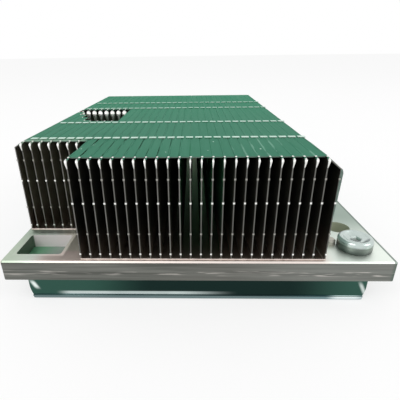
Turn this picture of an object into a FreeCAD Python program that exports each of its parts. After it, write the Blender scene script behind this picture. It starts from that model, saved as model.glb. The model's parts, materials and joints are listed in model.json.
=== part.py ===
import FreeCAD, Part
import os

import Sketcher

# Passive heatsink for a server processor. A stack of folded fins stands on an
# aluminium base plate. A contact plate under the base touches the processor.
# Frame: origin at the centre of the contact face, +Y along the fins, +Z up.

DOC = FreeCAD.newDocument("server_heatsink")
SHEET = DOC.addObject("Spreadsheet::Sheet", "Sizes")

# The fins share the width that the screw strip leaves.
FIN_PITCH = "=(base_width - fin_left - fin_strip - fin_last - fin_sheet) / (fin_count - 2)"

# Driving sizes in millimetres. "Front" and "left" are the edges of the base.
SIZES = [
    ("base_width", 78.6, "base plate, left to right"),
    ("base_depth", 108.0, "base plate, front to back"),
    ("base_thick", 4.4, "base plate thickness"),
    ("base_corner", 0.6, "base corner radius in plan"),
    ("base_chamfer", 0.3, "chamfer round the top edge of the base"),
    ("contact_side", 4.3, "contact plate inside the base at left and right"),
    ("contact_setback", 0.6, "contact plate inside the base at front and back"),
    ("contact_thick", 5.2, "contact plate thickness"),
    ("contact_corner", 0.6, "contact plate corner radius in plan"),
    ("contact_bevel", 1.0, "bevel under the contact plate's long edges, across"),
    ("contact_bevel_rise", 3.2, "height of the same bevel"),
    ("rim_height", 0.9, "height of the rim along the contact face"),
    ("rim_step", 0.3, "how far the rim stands out past the plate above it"),
    ("rim_chamfer", 0.3, "chamfer under the rim"),
    ("fin_count", 33, "number of fins"),
    ("fin_height", 20.6, "fin height over the base"),
    ("fin_sheet", 0.2, "fin sheet thickness"),
    ("fin_bend", 0.4, "outside radius of a fold"),
    ("fin_gap", 0.05, "flange tip to the next fin"),
    ("fin_left", 0.2, "the left edge to the first fin, if its gap were a full one"),
    ("fin_first", 0.55, "how much closer the first fin stands to the second"),
    ("fin_strip", 13.8, "bare strip for the screws, right of the last fin"),
    ("fin_last", 2.4, "last fin from the one before it"),
    ("fin_pitch", FIN_PITCH, "fin to fin"),
    ("fin_front", 1.0, "fins behind the front edge"),
    ("fin_back", 7.0, "fins short of the back edge"),
    ("corner_round", 1.2, "radius at the upper ends of a fin"),
    ("flange_setback", 1.2, "upper flange short of the fin ends"),
    ("shoulder_left", 1.0, "drop of the sloping shoulder on the first fin"),
    ("shoulder_right", 2.0, "drop of the sloping shoulder on the last fin"),
    ("notch_fins", 8, "fins shortened for the corner notch"),
    ("notch_depth", 13.0, "depth of the corner notch behind the main block"),
    ("well_first", 2, "first fin cut by the access well"),
    ("well_fins", 8, "fins cut by the access well"),
    ("well_front", 40.0, "front of the access well from the front edge"),
    ("well_back", 59.5, "back of the access well from the front edge"),
    ("well_corner_width", 6.6, "cut-off corner of the well, across the fins"),
    ("well_corner_depth", 16.5, "cut-off corner of the well, along the fins"),
    ("tab_row_a", 17.3, "first row of interlock tabs from the front edge"),
    ("tab_row_b", 36.0, "second row of tabs"),
    ("tab_row_c", 62.0, "third row of tabs"),
    ("tab_row_d", 75.5, "fourth row of tabs"),
    ("tab_length", 1.1, "tab, along the fin"),
    ("tab_root", 0.9, "tab on its own flange"),
    ("tab_reach", 0.6, "tab over the next flange"),
    ("tab_thick", 0.2, "tab thickness"),
    ("nub_level_a", 1.2, "lowest spacer nub over the base"),
    ("nub_level_b", 5.7, "second nub"),
    ("nub_level_c", 12.1, "third nub"),
    ("nub_level_d", 16.75, "highest nub"),
    ("nub_height", 0.36, "nub height"),
    ("nub_side", 0.08, "nub proud of the sheet on each side"),
    ("nub_proud", 0.12, "nub proud of the front edge of the fin"),
    ("nub_depth", 0.6, "nub depth along the fin"),
    ("recess_left", 2.1, "clip recess from the left edge"),
    ("recess_front", 2.8, "clip recess from the front edge"),
    ("recess_width", 9.4, "clip recess, left to right"),
    ("recess_depth", 8.2, "clip recess, front to back"),
    ("recess_corner", 0.6, "clip recess corner radius"),
    ("recess_floor", 1.4, "base left under the clip recess"),
    ("screw_side", 6.3, "right-hand screws from the right edge"),
    ("screw_end", 5.8, "right-hand screws from the front and back edges"),
    ("well_screw_side", 10.8, "screw in the well from the left edge"),
    ("well_screw_front", 51.0, "screw in the well from the front edge"),
    ("screw_radius", 1.75, "screw thread radius"),
    ("screw_tip", 0.4, "screw tip over the contact face"),
    ("neck_radius", 1.4, "radius of the groove that holds the ring"),
    ("head_radius", 3.5, "screw head radius"),
    ("head_height", 2.6, "screw head height"),
    ("head_bevel", 0.6, "bevel round the screw head"),
    ("socket_radius", 1.3, "hexagon socket, centre to corner"),
    ("socket_depth", 1.4, "hexagon socket depth"),
    ("dish_radius", 2.7, "shallow dish round the socket"),
    ("dish_depth", 0.45, "depth of that dish"),
    ("screw_clearance", 0.2, "gap round a screw in the base"),
    ("ring_radius", 2.8, "retaining ring outside radius"),
    ("ring_thick", 0.6, "retaining ring thickness"),
    ("ring_pocket", 1.0, "depth of the counterbore that the ring sits in"),
    ("ring_fit", 0.1, "gap above and below the ring"),
    ("ring_bore_fit", 0.05, "gap between ring and groove"),
    ("ring_slot", 1.6, "mouth of the retaining ring"),
    ("ring_clearance", 0.2, "gap round the ring in its counterbore"),
    ("relief_clearance", 0.45, "gap round screws in the contact plate"),
    ("relief_corner", 1.5, "corner radius inside a relief slot"),
    ("guide_radius", 2.7, "guide hole radius"),
    ("guide_side", 6.3, "guide holes from the right edge"),
    ("guide_end", 15.0, "guide holes from the front and back edges"),
    ("guide_relief", 0.3, "gap round guide holes in the contact plate"),
    ("pin_radius", 1.15, "locating pin radius"),
    ("pin_height", 1.2, "locating pin over the base"),
    ("pin_bevel", 0.3, "bevel on the pin"),
    ("pin_embed", 2.0, "locating pin inside the base"),
    ("pin_side", 10.8, "pins from the right edge"),
    ("pin_end", 7.4, "pins from the front and back edges"),
    ("pipe_count", 4, "number of heat pipes"),
    ("pipe_pitch", 12.0, "pipe to pipe"),
    ("pipe_width", 6.0, "flattened heat pipe width"),
    ("pipe_thick", 2.5, "flattened heat pipe thickness"),
    ("pipe_corner", 1.2, "rounded sides of a flattened pipe"),
    ("pipe_inset", 6.0, "heat pipe short of the base at each end"),
    ("pipe_clearance", 0.05, "solder gap round a pipe in its groove"),
    ("cut_margin", 1.0, "how far a cutting outline runs past the part"),
]


def fill_sheet():
    """One row for each size: its value, with an alias, and what it is."""
    for row, (alias, value, meaning) in enumerate(SIZES, start=1):
        SHEET.set(f"A{row}", str(value))
        SHEET.set(f"B{row}", meaning)
        SHEET.setAlias(f"A{row}", alias)
    DOC.recompute()


def bind(text):
    """A sheet expression written with short names, such as {fin_pitch} / 2."""
    return text.replace("{", "Sizes.").replace("}", "")


def value(text):
    """The number that such an expression has now."""
    return float(SHEET.evalExpression(bind(text)))


def new_body(label, at):
    """A PartDesign body whose own corner lies at the three expressions given."""
    body = DOC.addObject("PartDesign::Body", label)
    body.Label = label
    for axis, text in zip("xyz", at):
        body.setExpression(f".Placement.Base.{axis}", bind(text))
    return body


def new_sketch(body, role, label, offset="0"):
    """A sketch on one of the body's own origin planes, moved out along its normal."""
    plane = next(f for f in body.Origin.OriginFeatures if f.Role == role)
    sketch = body.newObject("Sketcher::SketchObject", f"{body.Name}_{label}")
    sketch.AttachmentSupport = [(plane, "")]
    sketch.MapMode = "FlatFace"
    if offset != "0":
        sketch.setExpression("AttachmentOffset.Base.z", bind(offset))
    return sketch


def hold(sketch, kind, geometry, point, text):
    """Tie a point's distance from the sketch origin to an expression."""
    if text == "0":
        axis = -2 if kind == "DistanceX" else -1
        sketch.addConstraint(Sketcher.Constraint("PointOnObject", geometry, point, axis))
        return
    number = value(text)
    rule = Sketcher.Constraint(kind, -1, 1, geometry, point, number)
    index = sketch.addConstraint(rule)
    sketch.setExpression(f"Constraints[{index}]", bind(text))


def outline(sketch, corners):
    """A closed outline. Each corner is (x, y) or (x, y, radius), as expressions."""
    count = len(corners)
    at = [FreeCAD.Vector(value(c[0]), value(c[1]), 0) for c in corners]
    radii = [value(c[2]) if len(c) > 2 else 0.0 for c in corners]
    sides = []
    for i in range(count):
        j = (i + 1) % count
        run = (at[j] - at[i]).normalize()
        line = Part.LineSegment(at[i] + run * radii[i], at[j] - run * radii[j])
        sides.append(sketch.addGeometry(line))
    for i, side in enumerate(sides):
        j = (i + 1) % count
        if corners[i][0] == corners[j][0]:
            sketch.addConstraint(Sketcher.Constraint("Vertical", side))
            hold(sketch, "DistanceX", side, 1, corners[i][0])
        elif corners[i][1] == corners[j][1]:
            sketch.addConstraint(Sketcher.Constraint("Horizontal", side))
            hold(sketch, "DistanceY", side, 1, corners[i][1])
    for i, side in enumerate(sides):
        before = sides[i - 1]
        if radii[i]:
            round_corner(sketch, before, side, at[i], radii[i], corners[i][2])
            continue
        sketch.addConstraint(Sketcher.Constraint("Coincident", before, 2, side, 1))
        near = (corners[i - 1], corners[i], corners[(i + 1) % count])
        if corners[i][0] not in (near[0][0], near[2][0]):
            hold(sketch, "DistanceX", side, 1, corners[i][0])
        if corners[i][1] not in (near[0][1], near[2][1]):
            hold(sketch, "DistanceY", side, 1, corners[i][1])


def round_corner(sketch, before, after, corner, radius, text):
    """A tangent arc between two sides of an outline."""
    start = sketch.getPoint(before, 2)
    end = sketch.getPoint(after, 1)
    centre = start + end - corner
    middle = centre + (corner - centre).normalize() * radius
    arc = sketch.addGeometry(Part.Arc(start, middle, end))
    flip = (start - centre).cross(end - centre).z < 0
    first, last = (2, 1) if flip else (1, 2)
    sketch.addConstraint(Sketcher.Constraint("Tangent", before, 2, arc, first))
    sketch.addConstraint(Sketcher.Constraint("Tangent", arc, last, after, 1))
    index = sketch.addConstraint(Sketcher.Constraint("Radius", arc, radius))
    sketch.setExpression(f"Constraints[{index}]", bind(text))


def box(sketch, x0, y0, x1, y1, radius=None):
    """A rectangle between two corners, rounded where a radius is given."""
    corners = [(x0, y0), (x1, y0), (x1, y1), (x0, y1)]
    if radius:
        corners = [corner + (radius,) for corner in corners]
    outline(sketch, corners)


def circle(sketch, x, y, radius):
    """A circle with its centre and radius as expressions."""
    centre = FreeCAD.Vector(value(x), value(y), 0)
    ring = Part.Circle(centre, FreeCAD.Vector(0, 0, 1), value(radius))
    geometry = sketch.addGeometry(ring)
    hold(sketch, "DistanceX", geometry, 3, x)
    hold(sketch, "DistanceY", geometry, 3, y)
    index = sketch.addConstraint(Sketcher.Constraint("Radius", geometry, value(radius)))
    sketch.setExpression(f"Constraints[{index}]", bind(radius))


def pad(body, sketch, label, length, backwards=False):
    """Raise a sketch by a length, along its plane's normal or against it."""
    feature = body.newObject("PartDesign::Pad", f"{body.Name}_{label}")
    feature.Profile = sketch
    feature.Reversed = backwards
    feature.setExpression("Length", bind(length))
    body.Tip = feature


def pocket(body, sketch, label, depth, backwards=False):
    """Cut a sketch into the body. Left alone it cuts against the normal."""
    DOC.recompute()
    before = body.Shape.Volume
    feature = body.newObject("PartDesign::Pocket", f"{body.Name}_{label}")
    feature.Profile = sketch
    feature.Reversed = backwards
    feature.setExpression("Length", bind(depth))
    body.Tip = feature
    DOC.recompute()
    if body.Shape.Volume >= before:
        raise ValueError(f"{body.Label}: {label} removes nothing")


def chamfer_level(body, label, size, level):
    """Chamfer the outer edges of the body that lie at one height of its own."""
    DOC.recompute()
    base = body.Tip
    height = value(level)
    names = []
    for number, edge in enumerate(base.Shape.Edges, start=1):
        if all(abs(v.Z - height) < 1e-6 for v in edge.Vertexes):
            names.append(f"Edge{number}")
    feature = body.newObject("PartDesign::Chamfer", f"{body.Name}_{label}")
    feature.Base = (base, names)
    feature.setExpression("Size", bind(size))
    body.Tip = feature


fill_sheet()

# ---- Places shared by several pieces, from the left and front edges -----------

RIGHT_SCREW_X = "{base_width} - {screw_side}"
SCREWS = [
    (RIGHT_SCREW_X, "{screw_end}"),
    (RIGHT_SCREW_X, "{base_depth} - {screw_end}"),
    ("{well_screw_side}", "{well_screw_front}"),
]
GUIDES = [
    ("{base_width} - {guide_side}", "{guide_end}"),
    ("{base_width} - {guide_side}", "{base_depth} - {guide_end}"),
]
PINS = [
    ("{base_width} - {pin_side}", "{pin_end}"),
    ("{base_width} - {pin_side}", "{base_depth} - {pin_end}"),
]
PIPES = int(value("{pipe_count}"))
FINS = int(value("{fin_count}"))
BASE_TOP = "{contact_thick} + {base_thick}"
NODES = []


def pipe_left(index):
    """Left side of one heat pipe, from the left edge of the base."""
    middle = (PIPES - 1) / 2
    return f"{{base_width}} / 2 + ({index} - {middle}) * {{pipe_pitch}} - {{pipe_width}} / 2"


# ---- Base plate ---------------------------------------------------------------


def build_base_plate():
    """Milled aluminium plate that carries the fins, screws, pins and heat pipes."""
    at = ("-{base_width} / 2", "-{base_depth} / 2", "{contact_thick}")
    body = new_body("base_plate", at)
    plan = new_sketch(body, "XY_Plane", "plan")
    box(plan, "0", "0", "{base_width}", "{base_depth}", "{base_corner}")
    pad(body, plan, "plate", "{base_thick}")
    chamfer_level(body, "edge", "{base_chamfer}", "{base_thick}")

    recess = new_sketch(body, "XY_Plane", "recess_outline", "{base_thick}")
    right = "{recess_left} + {recess_width}"
    back = "{recess_front} + {recess_depth}"
    box(recess, "{recess_left}", "{recess_front}", right, back, "{recess_corner}")
    pocket(body, recess, "recess", "{base_thick} - {recess_floor}")

    holes = new_sketch(body, "XY_Plane", "hole_circles")
    for x, y in SCREWS:
        circle(holes, x, y, "{screw_radius} + {screw_clearance}")
    for x, y in GUIDES:
        circle(holes, x, y, "{guide_radius}")
    pocket(body, holes, "holes", "{base_thick} + {cut_margin}", True)

    counterbores = new_sketch(body, "XY_Plane", "counterbore_circles")
    for x, y in SCREWS:
        circle(counterbores, x, y, "{ring_radius} + {ring_clearance}")
    pocket(body, counterbores, "counterbores", "{ring_pocket}", True)

    bores = new_sketch(body, "XY_Plane", "pin_circles", "{base_thick}")
    for x, y in PINS:
        circle(bores, x, y, "{pin_radius}")
    pocket(body, bores, "pin_bores", "{pin_embed}")

    grooves = new_sketch(body, "XY_Plane", "groove_outlines")
    gap = "{pipe_clearance}"
    front = f"{{pipe_inset}} - {gap}"
    back = f"{{base_depth}} - {{pipe_inset}} + {gap}"
    for i in range(PIPES):
        left = pipe_left(i)
        box(grooves, f"{left} - {gap}", front, f"{left} + {{pipe_width}} + {gap}", back)
    pocket(body, grooves, "grooves", f"{{pipe_thick}} + {gap}", True)
    NODES.append(body)


# ---- Contact plate ------------------------------------------------------------


def build_contact_plate():
    """Polished plate with a rim under its ends and bevelled long edges."""
    at = ("-{base_width} / 2 + {contact_side}", "-{base_depth} / 2 + {contact_setback}", "0")
    body = new_body("contact_plate", at)
    width = "{base_width} - 2 * {contact_side}"
    depth = "{base_depth} - 2 * {contact_setback}"
    rim = new_sketch(body, "XY_Plane", "rim_plan")
    box(rim, "0", "0", width, depth, "{contact_corner}")
    pad(body, rim, "rim", "{rim_height}")
    chamfer_level(body, "rim_edge", "{rim_chamfer}", "0")

    plate = new_sketch(body, "XY_Plane", "plate_plan")
    step = "{rim_step}"
    box(plate, "0", step, width, f"{depth} - {step}", "{contact_corner}")
    pad(body, plate, "plate", "{contact_thick}")

    bevels = new_sketch(body, "XZ_Plane", "bevel_outlines")
    rise = "{contact_bevel_rise}"
    for inner, edge, outer in (
        ("{contact_bevel}", "0", "-{cut_margin}"),
        (f"{width} - {{contact_bevel}}", width, f"{width} + {{cut_margin}}"),
    ):
        low = [(outer, "-{cut_margin}"), (inner, "-{cut_margin}"), (inner, "0")]
        outline(bevels, low + [(edge, rise), (outer, rise)])
    pocket(body, bevels, "bevels", depth)

    reliefs = new_sketch(body, "XY_Plane", "relief_outlines")
    side = "{contact_side}"
    edge = f"{width} + {{cut_margin}}"
    screw_gap = "{screw_radius} + {relief_clearance}"
    guide_gap = "{guide_radius} + {guide_relief}"
    open_ended = [(place, screw_gap) for place in SCREWS[:2]]
    open_ended += [(place, guide_gap) for place in GUIDES]
    for (x, y), gap in open_ended:
        left = f"{x} - {side} - ({gap})"
        low = f"{y} - {{contact_setback}} - ({gap})"
        high = f"{y} - {{contact_setback}} + ({gap})"
        inside = "{relief_corner}"
        corners = [(left, low, inside), (edge, low), (edge, high), (left, high, inside)]
        outline(reliefs, corners)
    x, y = SCREWS[2]
    circle(reliefs, f"{x} - {side}", f"{y} - {{contact_setback}}", screw_gap)
    pocket(body, reliefs, "reliefs", "{contact_thick} + {cut_margin}", True)
    NODES.append(body)


# ---- Heat pipes ---------------------------------------------------------------


def build_heat_pipe(index):
    """One flattened pipe, soldered flush in its groove under the base plate."""
    at = (
        f"-{{base_width}} / 2 + {pipe_left(index)}",
        "-{base_depth} / 2 + {pipe_inset}",
        "{contact_thick}",
    )
    body = new_body(f"heat_pipe_{index + 1}", at)
    section = new_sketch(body, "XZ_Plane", "section")
    box(section, "0", "0", "{pipe_width}", "{pipe_thick}", "{pipe_corner}")
    pad(body, section, "pipe", "{base_depth} - 2 * {pipe_inset}", True)
    NODES.append(body)


# ---- Fins ---------------------------------------------------------------------

FOOT = "{fin_pitch} - {fin_gap}"
INNER_BEND = "{fin_bend} - {fin_sheet}"


def folded_section():
    """Section of a fin: foot, wall and upper flange, all one folded sheet."""
    return [
        ("0", "0", "{fin_bend}"),
        (FOOT, "0"),
        (FOOT, "{fin_sheet}"),
        ("{fin_sheet}", "{fin_sheet}", INNER_BEND),
        ("{fin_sheet}", "{fin_height} - {fin_sheet}", INNER_BEND),
        (FOOT, "{fin_height} - {fin_sheet}"),
        (FOOT, "{fin_height}"),
        ("0", "{fin_height}", "{fin_bend}"),
    ]


def first_section():
    """The first fin: its flange slopes up to the next fin as a shoulder."""
    drop = "{fin_height} - {shoulder_left}"
    inside = "{fin_first} + {fin_sheet}"
    return [
        ("{fin_first}", "0", "{fin_bend}"),
        (FOOT, "0"),
        (FOOT, "{fin_sheet}"),
        (inside, "{fin_sheet}", INNER_BEND),
        (inside, f"{drop} - {{fin_sheet}} / 2"),
        (FOOT, "{fin_height} - {fin_sheet}"),
        (FOOT, "{fin_height}"),
        ("{fin_first}", drop),
    ]


def plain_section():
    """The last fin but one: a foot and a wall, with no upper flange."""
    return folded_section()[:4] + [("{fin_sheet}", "{fin_height}"), ("0", "{fin_height}")]


def last_section():
    """The last fin: its shoulder slopes back up to the fin before it."""
    outside = "{fin_last} + {fin_sheet}"
    tip = "{fin_sheet} + {fin_gap}"
    drop = "{fin_height} - {shoulder_right}"
    return [
        ("{fin_last}", "0"),
        (outside, "0"),
        (outside, drop),
        (tip, "{fin_height}"),
        (tip, "{fin_height} - 1.5 * {fin_sheet}"),
        ("{fin_last}", f"{drop} - {{fin_sheet}} / 2"),
    ]


def section_of(number):
    """The folded section that a fin of this number has."""
    if number == 1:
        return first_section()
    if number == FINS - 1:
        return plain_section()
    if number == FINS:
        return last_section()
    return folded_section()


def fin_spans(number):
    """Name, front and back of each piece of a fin, from the front of the base."""
    name = f"fin_{number:02d}"
    front = "{fin_front}"
    if number <= value("{notch_fins}"):
        front = "{fin_front} + {notch_depth}"
    back = "{base_depth} - {fin_back}"
    order = number - int(value("{well_first}"))
    if not 0 <= order < value("{well_fins}"):
        return [(name, front, back)]
    along = f"{{well_corner_depth}} * (1 - {order} * {{fin_pitch}} / {{well_corner_width}})"
    stop = f"{{well_front}} + max(0; {along})"
    return [(f"{name}_front", front, stop), (f"{name}_rear", "{well_back}", back)]


def build_fin(number, name, front, back):
    """One piece of one fin, standing on the base plate."""
    step = min(number, FINS - 1) - 1
    left = f"-{{base_width}} / 2 + {{fin_left}} + {step} * {{fin_pitch}}"
    body = new_body(name, (left, f"-{{base_depth}} / 2 + {front}", BASE_TOP))
    length = f"({back}) - ({front})"
    section = new_sketch(body, "XZ_Plane", "section")
    outline(section, section_of(number))
    pad(body, section, "sheet", length, True)

    trim = new_sketch(body, "YZ_Plane", "trim_outline")
    over = "{cut_margin}"
    box(trim, f"-{over}", f"-{over}", f"{length} + {over}", "{fin_height} + {cut_margin}")
    corners = [("0", "0"), (length, "0"), (length, "{fin_height}"), ("0", "{fin_height}")]
    round_top = "{corner_round}"
    outline(trim, corners[:2] + [corners[2] + (round_top,), corners[3] + (round_top,)])
    pocket(body, trim, "trim", "2 * {fin_pitch}", True)

    if 1 < number < FINS - 1:
        relieve_flange(body, length)
        add_tabs(body, front, back)
    if not name.endswith("rear"):
        walls = {1: "{fin_first}", FINS: "{fin_last}"}
        add_nubs(body, walls.get(number, "0"))
    NODES.append(body)


def relieve_flange(body, length):
    """Cut the upper flange back from both ends, as far as the fold."""
    ends = new_sketch(body, "XY_Plane", "relief_outlines", "{fin_height}")
    near, far = "{fin_bend}", "{fin_pitch} + {cut_margin}"
    box(ends, near, "-{cut_margin}", far, "{flange_setback}")
    box(ends, near, f"{length} - {{flange_setback}}", far, f"{length} + {{cut_margin}}")
    pocket(body, ends, "relief", "{fin_bend}")


def add_tabs(body, front, back):
    """Interlock tabs that reach over the next fin, one in each row."""
    start = value(front) + value("{flange_setback} + {tab_length}")
    stop = value(back) - value("{flange_setback} + {tab_length}")
    rows = [f"{{tab_row_{letter}}}" for letter in "abcd"]
    rows = [row for row in rows if start < value(row) < stop]
    tabs = new_sketch(body, "XY_Plane", "tab_outlines", "{fin_height}")
    for row in rows:
        low = f"{row} - ({front}) - {{tab_length}} / 2"
        left = "{fin_pitch} - {fin_gap} - {tab_root}"
        box(tabs, left, low, "{fin_pitch} + {tab_reach}", f"{low} + {{tab_length}}")
    pad(body, tabs, "tabs", "{tab_thick}")


def add_nubs(body, wall):
    """Pressed spacer nubs down the front edge of a fin."""
    nubs = new_sketch(body, "XZ_Plane", "nub_outlines", "{nub_proud}")
    for letter in "abcd":
        low = f"{{nub_level_{letter}}} - {{nub_height}} / 2"
        left = f"{wall} - {{nub_side}}"
        right = f"{wall} + {{fin_sheet}} + {{nub_side}}"
        box(nubs, left, low, right, f"{low} + {{nub_height}}")
    pad(body, nubs, "nubs", "{nub_proud} + {nub_depth}", True)


# ---- Fasteners ----------------------------------------------------------------


def solid(kind, label, sizes, at):
    """A Part primitive with its sizes and place bound to the sheet."""
    item = DOC.addObject(f"Part::{kind}", label)
    for name, text in sizes.items():
        item.setExpression(name, bind(text))
    for axis, text in zip("xyz", at):
        item.setExpression(f".Placement.Base.{axis}", bind(text))
    return item


def fuse(label, items):
    """Several primitives joined into one solid."""
    joined = DOC.addObject("Part::MultiFuse", label)
    joined.Shapes = items
    return joined


def cut(label, base, tool):
    """One solid with another taken out of it."""
    result = DOC.addObject("Part::Cut", label)
    result.Base = base
    result.Tool = tool
    return result


def group(label, items):
    """Identical pieces, kept as separate solids in one node."""
    node = DOC.addObject("Part::Compound", label)
    node.Label = label
    node.Links = items
    NODES.append(node)


def in_frame(place):
    """A plan place, from the left and front edges, in the part's own frame."""
    return f"-{{base_width}} / 2 + {place[0]}", f"-{{base_depth}} / 2 + {place[1]}"


def screw(index, place):
    """Captive screw: head on the base, thread through it, groove for the ring."""
    x, y = in_frame(place)
    ring_top = "{contact_thick} + {ring_pocket} - {ring_fit}"
    neck_low = f"{ring_top} - {{ring_thick}} - {{ring_fit}}"
    neck_high = f"{ring_top} + {{ring_fit}}"
    bevel_low = f"{BASE_TOP} + {{head_height}} - {{head_bevel}}"
    head_top = f"{BASE_TOP} + {{head_height}}"
    core = {"Radius": "{neck_radius}", "Height": f"{BASE_TOP} - {{screw_tip}}"}
    low = {"Radius": "{screw_radius}", "Height": f"{neck_low} - {{screw_tip}}"}
    high = {"Radius": "{screw_radius}", "Height": f"{BASE_TOP} - ({neck_high})"}
    head = {"Radius": "{head_radius}", "Height": "{head_height} - {head_bevel}"}
    bevel = {
        "Radius1": "{head_radius}",
        "Radius2": "{head_radius} - {head_bevel}",
        "Height": "{head_bevel}",
    }
    socket = {"Circumradius": "{socket_radius}", "Height": "{socket_depth} + {cut_margin}"}
    dish = {
        "Radius1": "{socket_radius}",
        "Radius2": "{dish_radius}",
        "Height": "{dish_depth}",
    }
    body = fuse(
        f"screw_{index}_body",
        [
            solid("Cylinder", f"screw_{index}_core", core, (x, y, "{screw_tip}")),
            solid("Cylinder", f"screw_{index}_thread", low, (x, y, "{screw_tip}")),
            solid("Cylinder", f"screw_{index}_shank", high, (x, y, neck_high)),
            solid("Cylinder", f"screw_{index}_head", head, (x, y, BASE_TOP)),
            solid("Cone", f"screw_{index}_bevel", bevel, (x, y, bevel_low)),
        ],
    )
    hexagon = solid("Prism", f"screw_{index}_socket", socket, (x, y, f"{head_top} - {{socket_depth}}"))
    hexagon.Polygon = 6
    hollow = solid("Cone", f"screw_{index}_dish", dish, (x, y, f"{head_top} - {{dish_depth}}"))
    return cut(f"screw_{index}", body, fuse(f"screw_{index}_drive", [hexagon, hollow]))


def retaining_ring(index, place):
    """Open ring in the screw's groove, inside the counterbore under the base."""
    x, y = in_frame(place)
    low = "{contact_thick} + {ring_pocket} - {ring_fit} - {ring_thick}"
    disc = {"Radius": "{ring_radius}", "Height": "{ring_thick}"}
    bore = {"Radius": "{neck_radius} + {ring_bore_fit}", "Height": "{ring_thick}"}
    mouth = {
        "Length": "{ring_radius} + {cut_margin}",
        "Width": "{ring_slot}",
        "Height": "{ring_thick}",
    }
    inside = fuse(
        f"ring_{index}_inside",
        [
            solid("Cylinder", f"ring_{index}_bore", bore, (x, y, low)),
            solid("Box", f"ring_{index}_mouth", mouth, (x, f"{y} - {{ring_slot}} / 2", low)),
        ],
    )
    return cut(f"ring_{index}", solid("Cylinder", f"ring_{index}_disc", disc, (x, y, low)), inside)


def locating_pin(index, place):
    """Pressed pin with a bevelled head, beside a right-hand screw."""
    x, y = in_frame(place)
    low = f"{BASE_TOP} - {{pin_embed}}"
    shank = {"Radius": "{pin_radius}", "Height": "{pin_embed} + {pin_height} - {pin_bevel}"}
    bevel = {
        "Radius1": "{pin_radius}",
        "Radius2": "{pin_radius} - {pin_bevel}",
        "Height": "{pin_bevel}",
    }
    top = f"{BASE_TOP} + {{pin_height}} - {{pin_bevel}}"
    return fuse(
        f"pin_{index}",
        [
            solid("Cylinder", f"pin_{index}_shank", shank, (x, y, low)),
            solid("Cone", f"pin_{index}_bevel", bevel, (x, y, top)),
        ],
    )


# ---- Build, check and write ---------------------------------------------------


def build():
    """Every piece of the heatsink, each as a node of its own."""
    build_base_plate()
    build_contact_plate()
    for index in range(PIPES):
        build_heat_pipe(index)
    for number in range(1, FINS + 1):
        for name, front, back in fin_spans(number):
            build_fin(number, name, front, back)
    group("captive_screws", [screw(i, place) for i, place in enumerate(SCREWS, 1)])
    group("retaining_rings", [retaining_ring(i, place) for i, place in enumerate(SCREWS, 1)])
    group("locating_pins", [locating_pin(i, place) for i, place in enumerate(PINS, 1)])
    DOC.recompute()


def check():
    """Stop if any object failed or any node has no valid shape."""
    for item in DOC.Objects:
        if "Invalid" in item.State or "Error" in item.State:
            raise ValueError(f"{item.Label} failed: {item.State}")
    for node in NODES:
        if node.Shape.isNull() or not node.Shape.isValid():
            raise ValueError(f"{node.Label} has no valid shape")


def write():
    """One STEP file for each node, named after it."""
    os.makedirs("parts", exist_ok=True)
    for node in NODES:
        node.Shape.exportStep(f"parts/{node.Label}.step")
        print(f"{node.Label}: {len(node.Shape.Solids)} solid, {node.Shape.Volume:.2f} mm3")
    print(f"{len(NODES)} nodes")


build()
check()
write()
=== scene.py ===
# %% [markdown]
# # A passive server processor heatsink
#
# The real object is a stack of thin aluminium fins soldered to a milled base plate. Air from
# the chassis fans blows along the fins, so it has no fan of its own. A polished contact plate
# sits under the base and rests on the processor. Three captive screws hold it down.
#
# The solid model already gives every piece its true size and place. This lesson dresses it:
# each metal gets its own finish, and the few details that are too fine for the solid model,
# such as screw threads and solder, are built here as meshes. Everything is in metres.

import json
import math

import bmesh
import bpy
from mathutils import Matrix, Vector, noise


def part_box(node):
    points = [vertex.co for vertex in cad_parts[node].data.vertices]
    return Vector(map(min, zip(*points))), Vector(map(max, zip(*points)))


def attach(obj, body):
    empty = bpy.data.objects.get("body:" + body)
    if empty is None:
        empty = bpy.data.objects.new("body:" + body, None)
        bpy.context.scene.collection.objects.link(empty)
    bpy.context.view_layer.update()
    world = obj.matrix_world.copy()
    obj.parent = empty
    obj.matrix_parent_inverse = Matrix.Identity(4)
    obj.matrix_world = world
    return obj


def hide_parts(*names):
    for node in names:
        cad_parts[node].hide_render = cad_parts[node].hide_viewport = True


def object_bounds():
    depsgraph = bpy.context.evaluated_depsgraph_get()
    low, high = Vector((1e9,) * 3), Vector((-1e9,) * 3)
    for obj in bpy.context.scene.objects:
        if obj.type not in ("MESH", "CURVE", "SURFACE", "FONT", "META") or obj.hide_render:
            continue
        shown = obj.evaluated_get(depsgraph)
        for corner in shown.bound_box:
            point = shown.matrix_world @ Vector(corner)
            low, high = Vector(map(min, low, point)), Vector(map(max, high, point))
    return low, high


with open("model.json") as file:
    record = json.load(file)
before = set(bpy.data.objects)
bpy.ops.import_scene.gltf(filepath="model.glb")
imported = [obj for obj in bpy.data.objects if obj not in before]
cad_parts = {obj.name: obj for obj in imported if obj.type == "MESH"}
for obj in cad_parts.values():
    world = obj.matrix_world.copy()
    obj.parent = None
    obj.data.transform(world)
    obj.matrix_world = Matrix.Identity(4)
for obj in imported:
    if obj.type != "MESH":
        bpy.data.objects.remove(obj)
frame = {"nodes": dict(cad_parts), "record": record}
NODES = frame["nodes"]
CAD_LOW, CAD_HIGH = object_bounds()
MM = 0.001
print("pieces from the solid model:", len(NODES))
print("its box in mm:", [round(side / MM, 2) for side in CAD_HIGH - CAD_LOW])

# %% [markdown]
# ## Places that the finishes and the extra pieces share
#
# Finishes and extra pieces have to land on the right spots. The height of the base, the ends
# of the fins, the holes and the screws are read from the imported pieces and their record, so
# a change in the solid model moves the dressing with it. The sheet, the spacer nubs and the
# radius of a screw head are restated here, because a box cannot show them.

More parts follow.
